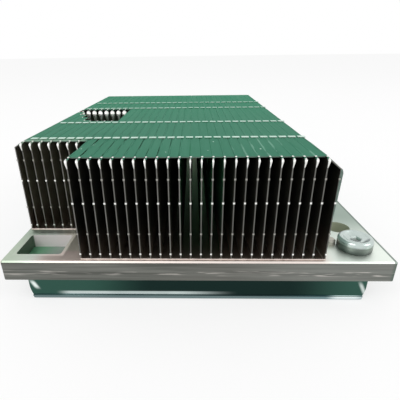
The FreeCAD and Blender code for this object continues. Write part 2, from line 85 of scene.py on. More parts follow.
# %% Read the main levels from the frame
SHEET = 0.2 * MM
NUB_SIDE = 0.08 * MM
NUB_PROUD = 0.12 * MM
HEAD_RADIUS = 3.5 * MM
FINS = sorted(name for name in NODES if name.startswith("fin_"))
BASE_LOW, BASE_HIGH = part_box("base_plate")
PLATE_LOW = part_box("contact_plate")[0]
FIRST_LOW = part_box("fin_01")[0]
LAST_LOW, LAST_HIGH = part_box(FINS[-1])
BASE_TOP = BASE_HIGH.z
FIN_TOP = LAST_HIGH.z
FIN_BACK = LAST_HIGH.y
FRONT_MAIN = LAST_LOW.y + NUB_PROUD
FRONT_NOTCH = FIRST_LOW.y + NUB_PROUD
print("base top", round(BASE_TOP / MM, 2), "fin top", round(FIN_TOP / MM, 2))

# %% Read the holes, the recess and the screws from the record
MOUNTS = {mount["name"]: mount for mount in frame["record"]["mounts"]}
OPENINGS = {opening["name"]: opening for opening in frame["record"]["physics"]["openings"]}
GUIDES = MOUNTS["guide_holes"]
GUIDE_X = GUIDES["pos_m"][0]
GUIDE_Y = GUIDES["dims"]["spacing_y_mm"] / 2 * MM
GUIDE_RADIUS = GUIDES["dims"]["hole_r_mm"] * MM
CLIP_LOW, CLIP_HIGH = (Vector(corner) for corner in OPENINGS["clip_recess"]["box_m"])
CLIP_MIDDLE = (CLIP_LOW + CLIP_HIGH) / 2
CLIP_HALF = (CLIP_HIGH - CLIP_LOW) / 2
SCREW_LOW, SCREW_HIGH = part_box("captive_screws")
RIGHT_SCREWS = SCREW_HIGH.x - HEAD_RADIUS
SCREWS = [
    (RIGHT_SCREWS, SCREW_LOW.y + HEAD_RADIUS),
    (RIGHT_SCREWS, SCREW_HIGH.y - HEAD_RADIUS),
    (SCREW_LOW.x + HEAD_RADIUS, MOUNTS["screw_left"]["pos_m"][1]),
]
print("screws at", [[round(side / MM, 1) for side in place] for place in SCREWS])


# %% Find the walls of the fins
def wall_middle(name):
    """Middle of a fin's upright wall, left to right. A nub sticks out on each side of it."""
    low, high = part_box(name)
    if name == FINS[-1]:
        return high.x - NUB_SIDE - SHEET / 2
    return low.x + SHEET / 2 + (0 if name.endswith("rear") else NUB_SIDE)


MAIN_LEFT = wall_middle("fin_09_front") - SHEET / 2
WELL_MIDDLE = (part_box("fin_05_front")[1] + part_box("fin_05_rear")[0]) / 2
WELL_RIGHT = wall_middle("fin_10")
print("left wall of the main block at", round(MAIN_LEFT / MM, 2))

# %% [markdown]
# ## Shader maths that reads as maths
#
# A finish such as worn metal is a sum of many small masks. Wiring them by hand hides the
# idea, so a small class wraps a socket and lets Python's own operators add the Math nodes.
# Numbers alone are never sent through nodes: Python works them out first. The reflected
# forms, such as __rsub__, are what makes 1 - mask work.

# %% A socket with operators
class Wire:
    """One output socket of a node tree, which Python's operators can work on."""

    def __init__(self, nodes, socket):
        self.nodes = nodes
        self.socket = socket

    def maths(self, operation, first, second=0.0):
        """A Math node on one or two values."""
        sockets = {0: first, 1: second}
        return self.nodes.node("ShaderNodeMath", {"operation": operation}, sockets)

    def __add__(self, other):
        return self.maths("ADD", self, other)

    def __radd__(self, other):
        return self.maths("ADD", other, self)

    def __sub__(self, other):
        return self.maths("SUBTRACT", self, other)

    def __rsub__(self, other):
        return self.maths("SUBTRACT", other, self)

    def __mul__(self, other):
        return self.maths("MULTIPLY", self, other)

    def __rmul__(self, other):
        return self.maths("MULTIPLY", other, self)

    def __abs__(self):
        return self.maths("ABSOLUTE", self)

    def most(self, other):
        """The larger of two values."""
        return self.maths("MAXIMUM", self, other)

    def rise(self, start, end):
        """0 before start, 1 past end and a soft step between them."""
        settings = {"interpolation_type": "SMOOTHSTEP"}
        sockets = {"Value": self, "From Min": start, "From Max": end}
        return self.nodes.node("ShaderNodeMapRange", settings, sockets)

    def near(self, middle, reach, soft):
        """1 within reach of a middle value, and 0 further away."""
        return 1 - abs(self - middle).rise(reach, reach + soft)

    def out(self, name):
        """Another output of the same node."""
        return Wire(self.nodes, self.socket.node.outputs[name])


print("masks are built with:", ", ".join(("+", "-", "*", "abs", "most", "rise", "near")))


# %% A node tree with one way to add a node
class Nodes:
    """A node tree under construction."""

    def __init__(self, tree):
        self.tree = tree
        tree.nodes.clear()

    def node(self, kind, settings=None, sockets=None, output=0):
        """A node: its settings first, then the values or links of its sockets."""
        made = self.tree.nodes.new(kind)
        for name, value in (settings or {}).items():
            setattr(made, name, value)
        for name, value in (sockets or {}).items():
            socket = made.inputs[name]
            if isinstance(value, Wire):
                self.tree.links.new(value.socket, socket)
            elif socket.type == "RGBA":
                socket.default_value = (*value, 1.0)
            else:
                socket.default_value = value
        return Wire(self, made.outputs[output]) if made.outputs else made

    def mix(self, factor, first, second):
        """The first colour where the factor is 0, and the second where it is 1."""
        sockets = {0: factor, 6: first, 7: second}
        return self.node("ShaderNodeMix", {"data_type": "RGBA"}, sockets, output=2)


# %% [markdown]
# ## A finish that knows where it is
#
# The same sheet of metal looks different on a cut edge, on a flange and deep in a channel. It
# could be split into many materials, one for each face. A single finish that asks where a
# point lies and which way it faces is shorter, and it has no seams.

# %% The base of every finish
class Finish(Nodes):
    """A material that knows where on the object it is and which way the face points."""

    def __init__(self, name):
        self.material = bpy.data.materials.new(name)
        self.material.use_nodes = True
        super().__init__(self.material.node_tree)
        self.place = self.node("ShaderNodeTexCoord").out("Object")
        facing = self.node("ShaderNodeNewGeometry").out("Normal")
        place = self.node("ShaderNodeSeparateXYZ", None, {0: self.place})
        way = self.node("ShaderNodeSeparateXYZ", None, {0: facing})
        self.x, self.y, self.z = place, place.out("Y"), place.out("Z")
        self.side, self.end, self.up = way, way.out("Y"), way.out("Z")

    def grain(self, across, along, high, detail=3.0):
        """Noise from 0 to 1 with this many features to the metre on each axis."""
        settings = {"operation": "MULTIPLY"}
        sockets = {0: self.place, 1: (across, along, high)}
        scaled = self.node("ShaderNodeVectorMath", settings, sockets)
        sockets = {"Vector": scaled, "Scale": 1.0, "Detail": detail, "Roughness": 0.55}
        return self.node("ShaderNodeTexNoise", None, sockets)

    def bump(self, height, depth, strength):
        """A normal bent by a height from 0 to 1 that is worth this many metres."""
        sockets = {"Height": height, "Distance": depth, "Strength": strength}
        return self.node("ShaderNodeBump", None, sockets)

    def close(self, **sockets):
        """End the material in one Principled shader, and return the material."""
        named = {name.replace("_", " "): value for name, value in sockets.items()}
        shader = self.node("ShaderNodeBsdfPrincipled", None, named)
        self.node("ShaderNodeOutputMaterial", None, {"Surface": shader})
        return self.material


def tint(red, green, blue):
    """A colour given as a paint chart does, from 0 to 255, made linear."""

    def linear(part):
        part = part / 255
        return part / 12.92 if part <= 0.04045 else ((part + 0.055) / 1.055) ** 2.4

    return tuple(round(linear(part), 5) for part in (red, green, blue))


print("a middle grey is", tint(128, 128, 128))

# %% [markdown]
# ## Fin sheet
#
# The fins are thin rolled aluminium. The flat flanges on top carry a painted green reflection
# of the surroundings. Where the press has cut the sheet, bare metal shows as a grey line, and
# some spacer nubs and the tabs carry a painted highlight. Inside the narrow channels light
# dies out after a few bounces, and the walls there carry painted shade as well. One material
# can do all of this, because where a face points, and how high it lies, tells which part of
# the fin it is.

# %% The painted green reflection on the flanges
def painted_green_reflection(f):
    """The painted green reflection on the flanges: paler to the back and along the edge of the low
    block.
    """
    patches = f.grain(70, 30, 70)
    rolled = f.grain(900, 60, 900)
    green = f.mix(patches, tint(58, 115, 92), tint(74, 131, 108))
    green = f.mix(f.y.rise(FRONT_NOTCH, FIN_BACK), green, tint(0, 124, 88))
    green = f.mix(0.25 * rolled, green, tint(84, 138, 118))
    specks = f.grain(1500, 1000, 1500, detail=0.0).rise(0.84, 0.87)
    specks = specks * (1 - f.y.rise(FRONT_NOTCH, FRONT_NOTCH + MM))
    green = f.mix(specks, green, tint(240, 250, 244))
    pale = 1 - f.y.rise(FRONT_NOTCH + 1.4 * MM, FRONT_NOTCH + 3.2 * MM)
    pale = pale * (1 - f.x.rise(MAIN_LEFT - MM, MAIN_LEFT))
    return f.mix(pale, green, tint(150, 170, 152))


# The coat in this print is the painted green reflection.
print("the coat runs from", round(FRONT_MAIN / MM, 1), "to", round(FIN_BACK / MM, 1), "along a fin")

# %% [markdown]
# ## The rest of the fin
#
# Masks come first, one for each part of a fin. The colours are then laid over each other
# from the plain wall outwards, so that the small bright parts come last and stay on top.
# Much light and shade is painted into the wall's colour: painted shade in the channels, painted
# light on the low block and in the open well, painted warm light on the lowest part, as the base
# throws a little light there, and a painted green glow in the middle channels, which are open
# from end to end.

# %% The fin finish
# Height of a row of nubs that carries a painted highlight.
NUB_HIGHLIGHT_LEVEL = BASE_TOP + 12.1 * MM


def fin_finish():
    """Rolled sheet with painted shade and light on the channel walls, a painted green reflection on
    top, grey bare edges and painted highlights on tabs and some nubs.
    """
    f = Finish("fin_sheet")
    # Flanges and shoulders face up. Cut edges face along the fin.
    crown = f.z.rise(FIN_TOP - 2.4 * MM, FIN_TOP - 2.1 * MM) * f.up.rise(0.02, 0.15)
    cut = abs(f.end).rise(0.5, 0.8)
    rim = cut * f.z.rise(FIN_TOP - 0.6 * MM, FIN_TOP - 0.4 * MM)
    tab = f.z.rise(FIN_TOP + 0.02 * MM, FIN_TOP + 0.1 * MM)
    # Nubs stand out past the front edge, on the main block and on the shorter fins.
    main_nub = 1 - f.y.rise(FRONT_MAIN - NUB_PROUD * 0.7, FRONT_MAIN - NUB_PROUD * 0.3)
    notch_nub = 1 - f.y.rise(FRONT_NOTCH - NUB_PROUD * 0.7, FRONT_NOTCH - NUB_PROUD * 0.3)
    nub = main_nub.most(notch_nub * (1 - f.x.rise(MAIN_LEFT - 0.5 * MM, MAIN_LEFT - 0.2 * MM)))
    # The two outer walls of the stack stand in the open, so they are lighter: they keep the
    # plain sheet, while the inner walls carry painted shade.
    outer = f.side.rise(0.5, 0.7) * f.x.rise(LAST_HIGH.x - 0.3 * MM, LAST_HIGH.x - 0.2 * MM)
    outer = outer + (1 - f.side.rise(-0.7, -0.5)) * (
        1 - f.x.rise(FIRST_LOW.x + 0.2 * MM, FIRST_LOW.x + 0.3 * MM)
    )
    rolled = f.grain(900, 40, 900)
    blotch = f.grain(160, 160, 160)
    # Walls: painted shade in the middle of a channel, then painted light on the lit parts.
    lit_low_block = 1 - f.x.rise(MAIN_LEFT - 0.5 * MM, MAIN_LEFT - 0.2 * MM)
    wall = f.mix(rolled, tint(98, 97, 90), tint(124, 121, 112))
    wall = f.mix(lit_low_block, wall, tint(186, 182, 166))
    floor_glow = 1 - f.z.rise(BASE_TOP + MM, BASE_TOP + 7 * MM)
    wall = f.mix(floor_glow, wall, tint(172, 158, 146))
    glow = f.x.near(1.0 * MM, 2.5 * MM, 3 * MM) * f.z.rise(12 * MM, 26 * MM)
    wall = f.mix(glow, wall, tint(150, 244, 198))
    # Painted light in the open well, and a painted green reflection on its right wall.
    well = f.x.near(WELL_MIDDLE.x, 12 * MM, MM) * f.y.near(WELL_MIDDLE.y, 4.5 * MM, MM)
    wall = f.mix(well, wall, tint(226, 242, 222))
    wall = f.mix(well * f.x.rise(WELL_RIGHT - 0.8 * MM, WELL_RIGHT), wall, tint(120, 220, 170))
    # Bare edges, then the tabs and nubs, which carry painted highlights.
    bare = f.mix(blotch, tint(82, 84, 80), tint(132, 131, 126))
    plain = f.mix(rolled, tint(134, 148, 142), tint(162, 176, 170))
    colour = f.mix(outer, wall, plain)
    colour = f.mix(crown, colour, painted_green_reflection(f))
    colour = f.mix(cut, colour, bare)
    colour = f.mix(rim, colour, tint(96, 116, 106))
    # The tabs carry a painted highlight, white at the front and greener towards the back.
    tabs = f.mix(blotch, tint(196, 226, 210), tint(255, 255, 255))
    tabs = f.mix(0.4 * f.y.rise(-20 * MM, 22 * MM), tabs, tint(130, 184, 160))
    colour = f.mix(tab, colour, tabs)
    # A painted highlight on the nubs of that row and on the lowest nubs.
    bright = f.z.near(NUB_HIGHLIGHT_LEVEL, 0.5 * MM, 0.3 * MM).most(1 - f.z.rise(11.4 * MM, 12 * MM))
    colour = f.mix(nub, colour, f.mix(bright, tint(160, 158, 152), tint(246, 246, 242)))
    return f.close(
        Base_Color=colour,
        Metallic=1.0,
        Roughness=0.36 + 0.16 * rolled - 0.2 * glow * (1 - crown),
        # The green specular tint carries the painted green reflection to grazing angles.
        Specular_Tint=tint(196, 228, 214),
        Normal=f.bump(rolled, 0.01 * MM, 0.4),
    )


# %% The lacquer in the joints, and dress the fins
def joint_finish():
    """The painted green reflection of the flanges again, with a few painted glints at the front of
    the right half.
    """
    f = Finish("joint_lacquer")
    streak = f.grain(120, 90, 60)
    front = 1 - f.y.rise(-37.5 * MM, -36.5 * MM)
    # Painted glints at the front of the right half.
    glint = front * f.x.rise(0.0, 12 * MM) * streak.rise(0.45, 0.6)
    colour = f.mix(0.4 * glint, painted_green_reflection(f), tint(170, 210, 192))
    return f.close(
        Base_Color=colour,
        Metallic=1.0,
        Roughness=0.4 + 0.1 * streak,
        # The green specular tint carries the painted green reflection to grazing angles.
        Specular_Tint=tint(196, 228, 214),
    )


FIN_SHEET = fin_finish()
JOINT_LACQUER = joint_finish()
for name in FINS:
    NODES[name].data.materials[0] = FIN_SHEET
print("dressed fins:", len(FINS))

# %% [markdown]
# ## Base plate
#
# The base is milled from plate. A face cutter leaves the top satin and very slightly green,
# a painted reflection of the light around it. The sides are sawn and then milled along their
# length, so they are duller and carry fine lines, a few of which have been knocked bright in
# handling. The top and the sides are worked out as two colours, and the way a face points
# picks one; the darker colour of the sides is painted shade.

# %% The top of the base
def base_top_colour(f, satin, sunk):
    """Satin face, lighter in the screw strip and darker to the back and at the left."""
    top = f.mix(satin, tint(204, 210, 202), tint(236, 240, 234))
    strip = f.x.rise(22 * MM, 27 * MM)
    top = f.mix(strip, top, tint(240, 247, 239))
    left = 1 - f.x.rise(-38 * MM, -30 * MM)
    top = f.mix(0.7 * left, top, tint(170, 188, 164))
    back = f.y.rise(BASE_LOW.y + 3 * MM, -32 * MM)
    top = f.mix(0.85 * back, top, tint(142, 160, 149))
    # Warm light comes back from the soldered feet.
    tan = f.y.near(BASE_LOW.y, 12 * MM, 3 * MM) * f.x.near(-26 * MM, 2.6 * MM, 4 * MM)
    top = f.mix(0.6 * tan, top, tint(218, 208, 190))
    warm = f.y.near(BASE_LOW.y, 3.4 * MM, 1.5 * MM) * f.x.near(-3 * MM, 27 * MM, 4 * MM)
    top = f.mix(0.7 * warm, top, tint(232, 214, 208))
    # The floor of the recess carries a painted green reflection with painted light, and the middle
    # channels carry a painted green glow.
    recess_floor_reflection = f.mix(f.x.rise(-36 * MM, -30 * MM), tint(96, 156, 120), tint(138, 154, 144))
    top = f.mix(sunk, top, recess_floor_reflection)
    between = f.y.rise(FRONT_MAIN + MM, FRONT_MAIN + 6 * MM) * f.x.near(0.0, 5 * MM, 4 * MM)
    top = f.mix(between, top, tint(64, 140, 104))
    # The right-hand edge is broken with a file; the thin dark line along it is painted shade.
    arris_shade = f.x.rise(BASE_HIGH.x - 0.8 * MM, BASE_HIGH.x - 0.65 * MM)
    return f.mix(0.85 * arris_shade, top, tint(112, 128, 119))


print("the screw strip starts at", round(LAST_HIGH.x / MM, 1))


# %% The sides of the base
KNOCK_LEVEL = BASE_TOP - 2.7 * MM


def base_side_colour(f, lines, in_recess, in_guide):
    """Sawn sides in painted shade, with fine lines and knocks. Holes and the recess carry painted
    light from above, and one recess wall painted shade.
    """
    cloud = f.grain(45, 45, 90)
    # The sides carry painted shade: they are darker than the satin top of the same metal.
    edge = f.mix(lines.rise(0.25, 0.75), tint(78, 84, 79), tint(128, 132, 126))
    edge = f.mix(0.5 * cloud, edge, tint(128, 120, 116))
    edge = f.mix(0.35 * f.x.rise(5 * MM, 25 * MM), edge, tint(150, 154, 149))
    knocks = f.grain(150, 150, 2600, detail=2.0).rise(0.55, 0.66)
    knocks = knocks * f.z.near(KNOCK_LEVEL, 0.35 * MM, 0.4 * MM)
    right_knocks = 0.4 + 0.5 * f.x.rise(20 * MM, 26 * MM)
    edge = f.mix(right_knocks * knocks, edge, tint(224, 218, 212))
    # The rounded right end of the face carries a painted green reflection.
    right_end_reflection = f.x.rise(BASE_HIGH.x - 1.2 * MM, BASE_HIGH.x)
    edge = f.mix(0.7 * right_end_reflection, edge, tint(66, 98, 84))
    # Painted light on the walls of the recess and in the guide holes, and painted shade on the
    # recess walls that face right.
    edge = f.mix(in_recess, edge, tint(244, 236, 236))
    edge = f.mix(in_recess * f.side.rise(0.3, 0.7), edge, tint(84, 106, 88))
    return f.mix(in_guide, edge, tint(190, 194, 172))


print("knocks lie at a height of", round(KNOCK_LEVEL / MM, 1))


# %% The base finish
def base_finish():
    """The two colours put together. The recess and the holes are dull inside."""
    f = Finish("milled_aluminium")
    level = f.up.rise(0.35, 0.6)
    sunk = 1 - f.z.rise(BASE_TOP - 2.5 * MM, BASE_TOP - 0.6 * MM)
    satin = f.grain(140, 140, 140, detail=5.0)
    lines = f.grain(50, 50, 1500, detail=4.0)
    # The mask of the recess reaches a little further at the back than at the front.
    in_recess = f.x.near(CLIP_MIDDLE.x, CLIP_HALF.x + 0.7 * MM, 0.3 * MM)
    in_recess = in_recess * f.y.near(CLIP_MIDDLE.y + 0.1 * MM, CLIP_HALF.y + 0.7 * MM, 0.3 * MM)
    reach = GUIDE_RADIUS + 0.2 * MM
    in_guide = f.x.near(GUIDE_X, reach, 0.1 * MM) * abs(f.y).near(GUIDE_Y, reach, 0.1 * MM)
    top = base_top_colour(f, satin, sunk)
    edge = base_side_colour(f, lines, in_recess, in_guide)
    dull = in_recess.most(in_guide * (1 - level))
    return f.close(
        Base_Color=f.mix(level, edge, top),
        Metallic=1 - 0.8 * dull,
        Roughness=0.5 - 0.08 * level + 0.12 * satin,
        Normal=f.bump(lines, 0.015 * MM, 0.35),
    )


BASE_METAL = base_finish()
NODES["base_plate"].data.materials[0] = BASE_METAL
print("dressed: base_plate")

# %% [markdown]
# ## Contact plate
#
# The plate that touches the processor is ground and polished, then plated. It mirrors the
# room; the dark green band and the bright lip round its lower edge are painted reflection.

# %% The contact plate finish
RIM_TOP = PLATE_LOW.z + 0.9 * MM


def contact_finish():
    """A polished plate. Its painted reflections and glints are laid in by height and by place."""
    f = Finish("polished_contact_plate")
    cloud = f.grain(40, 40, 160)
    sway = f.grain(25, 25, 25)
    # Painted reflection: a dark band above, which is darkest in the middle, and the bright lip
    # under it.
    lip = 1 - f.z.rise(RIM_TOP, RIM_TOP + 0.15 * MM)
    middle = f.x.near(5 * MM, 14 * MM, 14 * MM)
    band = f.mix(cloud, tint(46, 80, 69), tint(62, 96, 86))
    band = f.mix(middle, band, tint(28, 46, 43))
    # A long painted glint lies just over the lip on the left half of the front face.
    glint = f.z.near(RIM_TOP + 0.5 * MM, 0.3 * MM, 0.25 * MM) * f.end.rise(-0.6, -0.8)
    reach = 1 - f.x.rise(-5 * MM, 9 * MM)
    glint = glint * reach * sway.rise(0.25, 0.4) * f.x.rise(-29.5 * MM, -26 * MM)
    band = f.mix(glint, band, tint(200, 212, 210))
    # The light colour of the lip is a painted reflection of the table, bluer to the right.
    bright = f.mix(cloud, tint(96, 112, 114), tint(126, 146, 146))
    bright = f.mix(0.6 * f.x.rise(10 * MM, 30 * MM), bright, tint(120, 152, 158))
    # A painted glint on the lip near the right end.
    lip_highlight = f.x.near(31 * MM, 1.5 * MM, 3 * MM) * f.z.near(RIM_TOP - 0.2 * MM, 0.2 * MM, 0.3 * MM)
    bright = f.mix(lip_highlight, bright, tint(236, 246, 246))
    colour = f.mix(lip, band, bright)
    # Both front corners carry a painted slanting reflection.
    slant = f.x + 0.5 * f.z
    corner_highlight = slant.near(-31.9 * MM, 0.1 * MM, 0.7 * MM) * f.z.near(3.4 * MM, 0.3 * MM, 1.1 * MM)
    streak = slant.near(35.4 * MM, 0.05 * MM, 0.6 * MM) * f.z.near(2.6 * MM, 0.6 * MM, 1.6 * MM)
    colour = f.mix(corner_highlight.most(0.7 * streak), colour, tint(236, 246, 242))
    flank = abs(f.side).rise(0.8, 0.95)
    colour = f.mix(flank, colour, tint(96, 130, 120))
    return f.close(
        Base_Color=colour,
        Metallic=1.0,
        Roughness=0.14 + 0.1 * cloud,
    )


CONTACT_METAL = contact_finish()
NODES["contact_plate"].data.materials[0] = CONTACT_METAL
print("dressed: contact_plate")

# %% [markdown]
# ## Small steel and copper
#
# Screws and pins are plated steel, the rings are blackened spring steel, and the heat pipes
# are bare copper with brown heat marks from soldering.

# %% The screw finish
SCREW_TOP = SCREW_HIGH.z


def screw_finish():
    """Bright nickel on top. The side of the head carries painted shade, darkest at its foot."""
    f = Finish("screw_nickel")
    wear = f.grain(500, 500, 700, detail=4.0)
    turned = f.grain(60, 60, 3000)
    # Painted shade on the side of the head.
    band = 1 - f.z.rise(SCREW_TOP - 1.3 * MM, SCREW_TOP - 0.7 * MM)
    colour = f.mix(wear, tint(178, 192, 188), tint(214, 224, 220))
    # Painted shade on the faces of the rim and dish that turn to the back.
    sloped_shade = f.end.rise(0.06, 0.3) * f.z.rise(SCREW_TOP - 0.7 * MM, SCREW_TOP - 0.6 * MM)
    colour = f.mix(sloped_shade, colour, tint(120, 130, 130))
    colour = f.mix(band, colour, f.mix(wear, tint(84, 92, 88), tint(134, 140, 136)))
    # Painted shade where the head meets the base.
    foot = f.z.near(BASE_TOP, 0.3 * MM, 0.8 * MM)
    colour = f.mix(0.7 * foot, colour, tint(62, 70, 67))
    return f.close(
        Base_Color=colour,
        Metallic=1.0,
        Roughness=0.2 + 0.12 * wear,
        Normal=f.bump(turned, 0.01 * MM, 0.3),
    )


SCREW_NICKEL = screw_finish()
print("screw heads rise to", round(SCREW_TOP / MM, 1))


# %% The other small finishes
def plated_finish(name, low, high, rough):
    """Worn metal between two colours, with a fine bump."""
    f = Finish(name)
    wear = f.grain(700, 700, 900, detail=4.0)
    return f.close(
        Base_Color=f.mix(wear, low, high),
        Metallic=1.0,
        Roughness=rough + 0.12 * wear,
        Normal=f.bump(wear, 0.01 * MM, 0.3),
    )


PIN_STEEL = plated_finish("pin_steel", tint(176, 174, 166), tint(222, 218, 208), 0.6)
RING_STEEL = plated_finish("ring_steel", tint(40, 42, 44), tint(66, 68, 70), 0.38)
PIPE_COPPER = plated_finish("pipe_copper", tint(150, 92, 62), tint(206, 140, 104), 0.3)
# The flares and the coined dots: a near-white colour that is a painted highlight.
FLARE_HIGHLIGHT_METAL = plated_finish("flare_painted_highlight", tint(226, 226, 222), tint(248, 248, 244), 0.3)
HEM_METAL = plated_finish("hemmed_sheet", tint(70, 88, 81), tint(126, 142, 134), 0.35)
SOLDER = plated_finish("solder", tint(192, 176, 168), tint(230, 220, 212), 0.45)
NODES["locating_pins"].data.materials[0] = PIN_STEEL
NODES["retaining_rings"].data.materials[0] = RING_STEEL
PIPES = [name for name in NODES if name.startswith("heat_pipe")]
for name in PIPES:
    NODES[name].data.materials[0] = PIPE_COPPER
print("dressed small metal:", 2 + len(PIPES))

# %% [markdown]
# ## A helper for new pieces
#
# Each new piece is built in a bmesh, smoothed, given its finish, and made to ride on the one
# body that this part has.

# %% Turn a bmesh into a piece
def piece(name, build, material):
    """A smooth shaded object from a bmesh, with its finish and body."""
    mesh = bpy.data.meshes.new(name)
    bmesh.ops.recalc_face_normals(build, faces=build.faces)
    for face in build.faces:
        face.smooth = True
    build.to_mesh(mesh)
    build.free()
    mesh.materials.append(material)
    made = bpy.data.objects.new(name, mesh)
    bpy.context.scene.collection.objects.link(made)
    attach(made, "root")
    print(name, "faces:", len(mesh.polygons))
    return made


def bridge(build, loops):
    """Quads between closed loops of the same length."""
    for near, far in zip(loops, loops[1:]):
        count = len(near)
        for i in range(count):
            j = (i + 1) % count
            build.faces.new((near[i], near[j], far[j], far[i]))


def cap(build, loops):
    """Close both ends of a lofted tube."""
    build.faces.new(loops[0])
    build.faces.new(list(reversed(loops[-1])))


print("finishes to choose from:", len(bpy.data.materials))

# %% [markdown]
# ## Flared ends of the fins
#
# At each end of a fin the upper fold is cut free of the flange and flares out as it runs
# into the upright wall. It catches the light as a small bright wedge; its near-white colour
# is a painted highlight. Each wedge is lofted from a few level slices: wide under the fold,
# and as thin as the sheet further down. The stack is squeezed together from both sides, so
# the outer wedges lean a little outwards. Above each wedge the press leaves a coined dot on
# the edge of the flange, in the same painted highlight.

# %% One flare
# Each slice is its drop under the fin's top, half its width and its setback, all in mm.
FLARE_LEVELS = [
    (0.15, 0.08, 0.60), (0.25, 0.18, 0.38), (0.40, 0.26, 0.20), (0.65, 0.27, 0.05),
    (1.0, 0.21, 0.0), (1.4, 0.14, 0.0), (1.8, 0.10, 0.0),
]
FLARE_DROP = FLARE_LEVELS[-1][0]
FLARE_PROUD = 0.10
FLARE_ARC = 8
LEAN_SHARE = 0.012
LEAN_LIMIT = 21 * MM


def add_flare(build, middle, end, outward, spread=1.0):
    """One wedge at a fin end. Outward is -1 at a front end and 1 at a back end."""
    squeeze = LEAN_SHARE * max(-LEAN_LIMIT, min(LEAN_LIMIT, middle))
    loops = []
    for drop, half, back in FLARE_LEVELS:
        half *= spread * (0.6 + abs(squeeze) / MM) * MM
        z = FIN_TOP - drop * spread ** 0.6 * MM
        face = end + outward * (FLARE_PROUD - back) * MM
        centre = middle + squeeze * (1 - drop / FLARE_DROP)
        ring = []
        for k in range(FLARE_ARC + 1):
            angle = math.pi * k / FLARE_ARC
            bulge = outward * half * 0.5 * math.sin(angle)
            ring.append(build.verts.new((centre - half * math.cos(angle), face + bulge, z)))
        for x in (centre + half, centre - half):
            ring.append(build.verts.new((x, face - outward * 0.3 * MM, z)))
        loops.append(ring)
    bridge(build, loops)
    cap(build, loops)


print("a flare is", FLARE_DROP, "mm tall in", len(FLARE_LEVELS), "slices")


# %% One coined dot, then all of them
def add_dot(build, x, y):
    """A small raised dot on the edge of a flange."""
    made = bmesh.ops.create_icosphere(build, subdivisions=2, radius=0.22 * MM)["verts"]
    bmesh.ops.scale(build, vec=(1.0, 1.2, 0.6), verts=made)
    bmesh.ops.translate(build, vec=(x, y, FIN_TOP - 0.02 * MM), verts=made)


FLANGE_SETBACK = 1.2 * MM
DOT_SETBACK = FLANGE_SETBACK - 0.05 * MM
WELL_SPREAD = 3.2


def fin_ends(name):
    """Front and back end of a fin without its nubs, and whether it starts at the well."""
    low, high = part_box(name)
    rear = name.endswith("rear")
    return low.y + (0 if rear else NUB_PROUD), high.y, rear


flares = bmesh.new()
for name in FINS[1:-1]:
    front, back, rear = fin_ends(name)
    middle = wall_middle(name)
    add_flare(flares, middle, front, -1, WELL_SPREAD if rear else 1.0)
    add_flare(flares, middle, back, 1)
    for y in (front + DOT_SETBACK, back - DOT_SETBACK):
        add_dot(flares, middle + 0.1 * MM, y)
piece("fin_flares", flares, FLARE_HIGHLIGHT_METAL)

# %% [markdown]
# ## Hem of the last fin
#
# The last fin on the right has no neighbour, so its front edge is folded into a hem. The hem
# is widest under the slanted shoulder and runs out half way down.

# %% Build the hem
HEM_STEPS = 24
HEM_TOP = FIN_TOP - 2.1 * MM
HEM_LENGTH = 9.5 * MM
HEM_WIDTH = 0.46 * MM
LAST_WALL = LAST_HIGH.x - NUB_SIDE
hem = bmesh.new()
hem_loops = []
for k in range(HEM_STEPS + 1):
    share = k / HEM_STEPS
    width = HEM_WIDTH * (1 - share) ** 0.7 * min(1.0, 0.4 + share * 8)
    wave = 0.03 * MM * noise.noise((share * 9, 0.0, 0.0))
    z = HEM_TOP - share * HEM_LENGTH
    y = FRONT_MAIN - 0.05 * MM
    inner, outer = LAST_WALL - 0.12 * MM, LAST_WALL + width + wave
    hem_loops.append([
        hem.verts.new((inner, y, z)), hem.verts.new((outer - 0.08 * MM, y, z)),
        hem.verts.new((outer, y + 0.1 * MM, z)), hem.verts.new((outer, y + 1.5 * MM, z)),
        hem.verts.new((inner, y + 2.0 * MM, z)),
    ])
bridge(hem, hem_loops)
cap(hem, hem_loops)
piece("last_fin_hem", hem, HEM_METAL)

# %% [markdown]
# ## Lacquer in the joints
#
# Where one flange ends and the next one begins there is a shallow groove. The coating fills
# most of it. It stays lower near the front of the left half, so a dark line shows there.

# %% Build the joint strips
JOINT_STEPS = 60
JOINT_SECTION = [(-0.04, 0.0), (0.16, 0.01), (0.38, 0.02), (0.1, -0.2)]
JOINT_SETBACK = FLANGE_SETBACK + 0.05 * MM
LOW_PATCHES_END = FRONT_NOTCH + 3 * MM


def add_joint(build, x, start, end):
    """One strip of lacquer along a groove. Its level wanders, most of all near the front."""
    loops = []
    for k in range(JOINT_STEPS + 1):
        y = start + (end - start) * k / JOINT_STEPS
        patchy = noise.noise((x / MM * 1.7, y / MM * 0.22, 3.0))
        depth = 0.02 + 0.03 * patchy
        if y < LOW_PATCHES_END:
            depth += max(0.0, 0.03 + 0.18 * patchy) * (1.0 if x < 0 else 0.3)
        z = FIN_TOP - depth * MM
        loops.append([
            build.verts.new((x + across * MM, y, z + up * MM)) for across, up in JOINT_SECTION
        ])
    bridge(build, loops)
    cap(build, loops)


joints = bmesh.new()
for name in FINS[1:-1]:
    front, back, rear = fin_ends(name)
    left = wall_middle(name) - SHEET / 2
    add_joint(joints, left, front + JOINT_SETBACK, back - JOINT_SETBACK)
piece("joint_lacquer", joints, JOINT_LACQUER)

# %% [markdown]
# ## Solder along the feet
#
# The fins are soldered down. A thin bead of solder runs out along the front of the feet, a
# little thicker and thinner as it goes. It is a quarter round swept along the feet, and
# smooth noise changes its size, so the edge wanders as real solder does.

# %% One bead
BEAD_STEP = 0.25 * MM
BEAD_ARC = 4


def bead_size(x, y):
    """A slow wave and a quick one on top of the usual size."""
    slow = noise.noise((x / MM * 0.9, y / MM, 0))
    quick = noise.noise((x / MM * 4, 0, 0))
    return (0.28 + 0.12 * slow + 0.04 * quick) * MM


